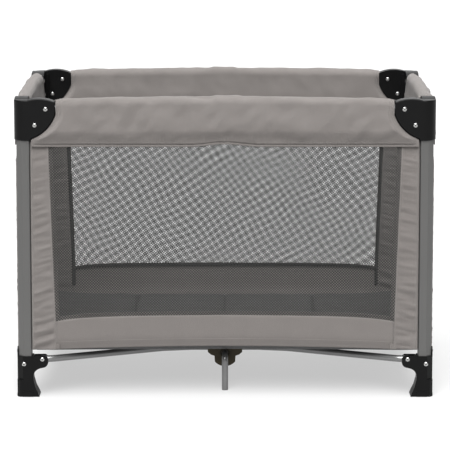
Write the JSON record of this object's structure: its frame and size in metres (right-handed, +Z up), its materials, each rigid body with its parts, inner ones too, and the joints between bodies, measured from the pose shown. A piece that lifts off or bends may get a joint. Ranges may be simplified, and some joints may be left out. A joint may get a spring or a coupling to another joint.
{
  "type": "folding playpen",
  "caption": "folding playpen or travel cot with fabric and net walls, padded rail covers, corner posts, folding rails and base, and a lift-out padded mattress",
  "frame": {"origin": "middle of the footprint, on the floor plane under the feet", "axes": "+X along the long side, to the right seen from the front; +Y from the front side to the rear side; +Z up"},
  "size_m": [1.0526, 0.7426, 0.7553],
  "materials": {
    "post_metal": "satin grey paint",
    "rail_metal": "satin grey paint",
    "black_plastic": "satin black moulding",
    "lock_plastic": "dark grey moulding",
    "hub_plastic": "dark olive brown moulding",
    "rivet_steel": "bright hollow rivet",
    "wall_fabric": "taupe grey woven polyester",
    "mesh": "dark diamond net",
    "floor_fabric": "dark woven base cloth",
    "mattress_fabric": "dark grey padded cloth",
    "webbing": "black webbing"
  },
  "bodies": {
    "corner_front_left": {"leg_front_left": "post_metal", "bracket_front_left": "black_plastic", "foot_front_left": "black_plastic", "rivets_front_left": "rivet_steel", "corner_fabric_front_left": "wall_fabric", "front_rail_cover": "wall_fabric", "front_band": "wall_fabric", "front_mesh": "mesh", "left_rail_cover": "wall_fabric", "left_band": "wall_fabric", "left_mesh": "mesh"},
    "corner_front_right": {"leg_front_right": "post_metal", "bracket_front_right": "black_plastic", "foot_front_right": "black_plastic", "rivets_front_right": "rivet_steel", "corner_fabric_front_right": "wall_fabric", "right_rail_cover": "wall_fabric", "right_band": "wall_fabric", "right_mesh": "mesh"},
    "corner_rear_left": {"leg_rear_left": "post_metal", "bracket_rear_left": "black_plastic", "foot_rear_left": "black_plastic", "rivets_rear_left": "rivet_steel", "corner_fabric_rear_left": "wall_fabric", "rear_rail_cover": "wall_fabric", "rear_band": "wall_fabric", "rear_mesh": "mesh"},
    "corner_rear_right": {"leg_rear_right": "post_metal", "bracket_rear_right": "black_plastic", "foot_rear_right": "black_plastic", "rivets_rear_right": "rivet_steel", "corner_fabric_rear_right": "wall_fabric"},
    "front_top_rail_left": {"front_top_rail_left": "rail_metal"},
    "front_top_rail_right": {"front_top_rail_right": "rail_metal"},
    "front_lock": {"front_lock": "lock_plastic"},
    "rear_top_rail_left": {"rear_top_rail_left": "rail_metal"},
    "rear_top_rail_right": {"rear_top_rail_right": "rail_metal"},
    "rear_lock": {"rear_lock": "lock_plastic"},
    "left_top_rail_front": {"left_top_rail_front": "rail_metal"},
    "left_top_rail_rear": {"left_top_rail_rear": "rail_metal"},
    "left_lock": {"left_lock": "lock_plastic"},
    "right_top_rail_front": {"right_top_rail_front": "rail_metal"},
    "right_top_rail_rear": {"right_top_rail_rear": "rail_metal"},
    "right_lock": {"right_lock": "lock_plastic"},
    "front_lower_rail_left": {"front_lower_rail_left": "rail_metal", "floor_left": "floor_fabric"},
    "front_lower_rail_right": {"front_lower_rail_right": "rail_metal", "floor_right": "floor_fabric"},
    "rear_lower_rail_left": {"rear_lower_rail_left": "rail_metal"},
    "rear_lower_rail_right": {"rear_lower_rail_right": "rail_metal"},
    "front_mid_hub": {"front_mid_hub": "hub_plastic", "front_centre_leg": "rail_metal"},
    "rear_mid_hub": {"rear_mid_hub": "hub_plastic", "rear_centre_leg": "rail_metal"},
    "cross_tube_front": {"cross_tube_front": "rail_metal"},
    "cross_tube_rear": {"cross_tube_rear": "rail_metal"},
    "central_hub": {"central_hub": "hub_plastic", "pull_strap": "webbing"},
    "mattress": {"mattress": "mattress_fabric"}
  },
  "joints": [
    {"name": "fold", "type": "hinge", "parent": "corner_front_left", "child": "front_lower_rail_left", "pos_m": [-0.4595, -0.356, 0.096], "axis": [0, -1, 0], "range_deg": [0, 86], "deforming": ["corner_fabric_front_left", "front_rail_cover", "front_band", "front_mesh", "left_rail_cover", "left_band", "left_mesh", "corner_fabric_front_right", "right_rail_cover", "right_band", "right_mesh", "corner_fabric_rear_left", "rear_rail_cover", "rear_band", "rear_mesh", "corner_fabric_rear_right", "floor_left", "floor_right", "mattress"]},
    {"name": "front_hub_level", "type": "hinge", "parent": "front_lower_rail_left", "child": "front_mid_hub", "pos_m": [-0.036, -0.207, 0.096], "axis": [0, 1, 0], "range_deg": [0, 86.01]},
    {"name": "front_lower_right_fold", "type": "hinge", "parent": "front_mid_hub", "child": "front_lower_rail_right", "pos_m": [0.036, -0.207, 0.096], "axis": [0, 1, 0], "range_deg": [0, 86.01]},
    {"name": "cross_front_fold", "type": "hinge", "parent": "front_mid_hub", "child": "cross_tube_front", "pos_m": [-0.011, -0.24, 0.096], "axis": [1, 0, 0], "range_deg": [0, 78.01]},
    {"name": "central_hub_level", "type": "hinge", "parent": "cross_tube_front", "child": "central_hub", "pos_m": [-0.011, 0, 0.096], "axis": [-1, 0, 0], "range_deg": [0, 78.01]},
    {"name": "cross_rear_fold", "type": "hinge", "parent": "central_hub", "child": "cross_tube_rear", "pos_m": [0.011, 0, 0.096], "axis": [-1, 0, 0], "range_deg": [0, 78.01]},
    {"name": "rear_hub_level", "type": "hinge", "parent": "cross_tube_rear", "child": "rear_mid_hub", "pos_m": [0.011, 0.24, 0.096], "axis": [1, 0, 0], "range_deg": [0, 78.01]},
    {"name": "rear_lower_left_fold", "type": "hinge", "parent": "rear_mid_hub", "child": "rear_lower_rail_left", "pos_m": [-0.036, 0.207, 0.096], "axis": [0, -1, 0], "range_deg": [0, 86.01]},
    {"name": "rear_lower_right_fold", "type": "hinge", "parent": "rear_mid_hub", "child": "rear_lower_rail_right", "pos_m": [0.036, 0.207, 0.096], "axis": [0, 1, 0], "range_deg": [0, 86.01]},
    {"name": "front_top_left_fold", "type": "hinge", "parent": "corner_front_left", "child": "front_top_rail_left", "pos_m": [-0.445, -0.353, 0.729], "axis": [0, 1, 0], "range_deg": [0, 86.01]},
    {"name": "front_lock_left", "type": "hinge", "parent": "front_top_rail_left", "child": "front_lock", "pos_m": [-0.0215, -0.353, 0.729], "axis": [0, -1, 0], "range_deg": [0, 86.01]},
    {"name": "front_lock_right", "type": "hinge", "parent": "front_lock", "child": "front_top_rail_right", "pos_m": [0.0215, -0.353, 0.729], "axis": [0, -1, 0], "range_deg": [0, 86.01]},
    {"name": "front_top_right_fold", "type": "hinge", "parent": "front_top_rail_right", "child": "corner_front_right", "pos_m": [0.445, -0.353, 0.729], "axis": [0, 1, 0], "range_deg": [0, 86.01]},
    {"name": "left_top_front_fold", "type": "hinge", "parent": "corner_front_left", "child": "left_top_rail_front", "pos_m": [-0.508, -0.29, 0.729], "axis": [-1, 0, 0], "range_deg": [0, 78.01]},
    {"name": "left_lock_front", "type": "hinge", "parent": "left_top_rail_front", "child": "left_lock", "pos_m": [-0.508, -0.05, 0.729], "axis": [1, 0, 0], "range_deg": [0, 78.01]},
    {"name": "left_lock_rear", "type": "hinge", "parent": "left_lock", "child": "left_top_rail_rear", "pos_m": [-0.508, 0.05, 0.729], "axis": [1, 0, 0], "range_deg": [0, 78.01]},
    {"name": "left_top_rear_fold", "type": "hinge", "parent": "left_top_rail_rear", "child": "corner_rear_left", "pos_m": [-0.508, 0.29, 0.729], "axis": [-1, 0, 0], "range_deg": [0, 78.01]},
    {"name": "rear_top_left_fold", "type": "hinge", "parent": "corner_rear_left", "child": "rear_top_rail_left", "pos_m": [-0.445, 0.353, 0.729], "axis": [0, 1, 0], "range_deg": [0, 86.01]},
    {"name": "rear_lock_left", "type": "hinge", "parent": "rear_top_rail_left", "child": "rear_lock", "pos_m": [-0.0215, 0.353, 0.729], "axis": [0, -1, 0], "range_deg": [0, 86.01]},
    {"name": "rear_lock_right", "type": "hinge", "parent": "rear_lock", "child": "rear_top_rail_right", "pos_m": [0.0215, 0.353, 0.729], "axis": [0, -1, 0], "range_deg": [0, 86.01]},
    {"name": "rear_top_right_fold", "type": "hinge", "parent": "rear_top_rail_right", "child": "corner_rear_right", "pos_m": [0.445, 0.353, 0.729], "axis": [0, 1, 0], "range_deg": [0, 86.01]},
    {"name": "right_top_front_fold", "type": "hinge", "parent": "corner_front_right", "child": "right_top_rail_front", "pos_m": [0.508, -0.29, 0.729], "axis": [-1, 0, 0], "range_deg": [0, 78.01]},
    {"name": "right_lock_front", "type": "hinge", "parent": "right_top_rail_front", "child": "right_lock", "pos_m": [0.508, -0.05, 0.729], "axis": [1, 0, 0], "range_deg": [0, 78.01]},
    {"name": "right_lock_rear", "type": "hinge", "parent": "right_lock", "child": "right_top_rail_rear", "pos_m": [0.508, 0.05, 0.729], "axis": [1, 0, 0], "range_deg": [0, 78.01]},
    {"name": "mattress_lift", "type": "slide", "parent": "corner_front_left", "child": "mattress", "axis": [0, 0, 1], "range_m": [0, 0.7506]}
  ],
  "couplings": [
    {"joint": "front_hub_level", "follows": "fold", "ratio": 1},
    {"joint": "front_lower_right_fold", "follows": "fold", "ratio": 1},
    {"joint": "cross_front_fold", "follows": "fold", "ratio": 0.90698},
    {"joint": "central_hub_level", "follows": "fold", "ratio": 0.90698},
    {"joint": "cross_rear_fold", "follows": "fold", "ratio": 0.90698},
    {"joint": "rear_hub_level", "follows": "fold", "ratio": 0.90698},
    {"joint": "rear_lower_left_fold", "follows": "fold", "ratio": 1},
    {"joint": "rear_lower_right_fold", "follows": "fold", "ratio": 1},
    {"joint": "front_top_left_fold", "follows": "fold", "ratio": 1},
    {"joint": "front_lock_left", "follows": "fold", "ratio": 1},
    {"joint": "front_lock_right", "follows": "fold", "ratio": 1},
    {"joint": "front_top_right_fold", "follows": "fold", "ratio": 1},
    {"joint": "left_top_front_fold", "follows": "fold", "ratio": 0.90698},
    {"joint": "left_lock_front", "follows": "fold", "ratio": 0.90698},
    {"joint": "left_lock_rear", "follows": "fold", "ratio": 0.90698},
    {"joint": "left_top_rear_fold", "follows": "fold", "ratio": 0.90698},
    {"joint": "rear_top_left_fold", "follows": "fold", "ratio": 1},
    {"joint": "rear_lock_left", "follows": "fold", "ratio": 1},
    {"joint": "rear_lock_right", "follows": "fold", "ratio": 1},
    {"joint": "rear_top_right_fold", "follows": "fold", "ratio": 1},
    {"joint": "right_top_front_fold", "follows": "fold", "ratio": 0.90698},
    {"joint": "right_lock_front", "follows": "fold", "ratio": 0.90698},
    {"joint": "right_lock_rear", "follows": "fold", "ratio": 0.90698},
    {"joint": "mattress_lift", "follows": "fold", "m_per_rad": 0.5}
  ]
}
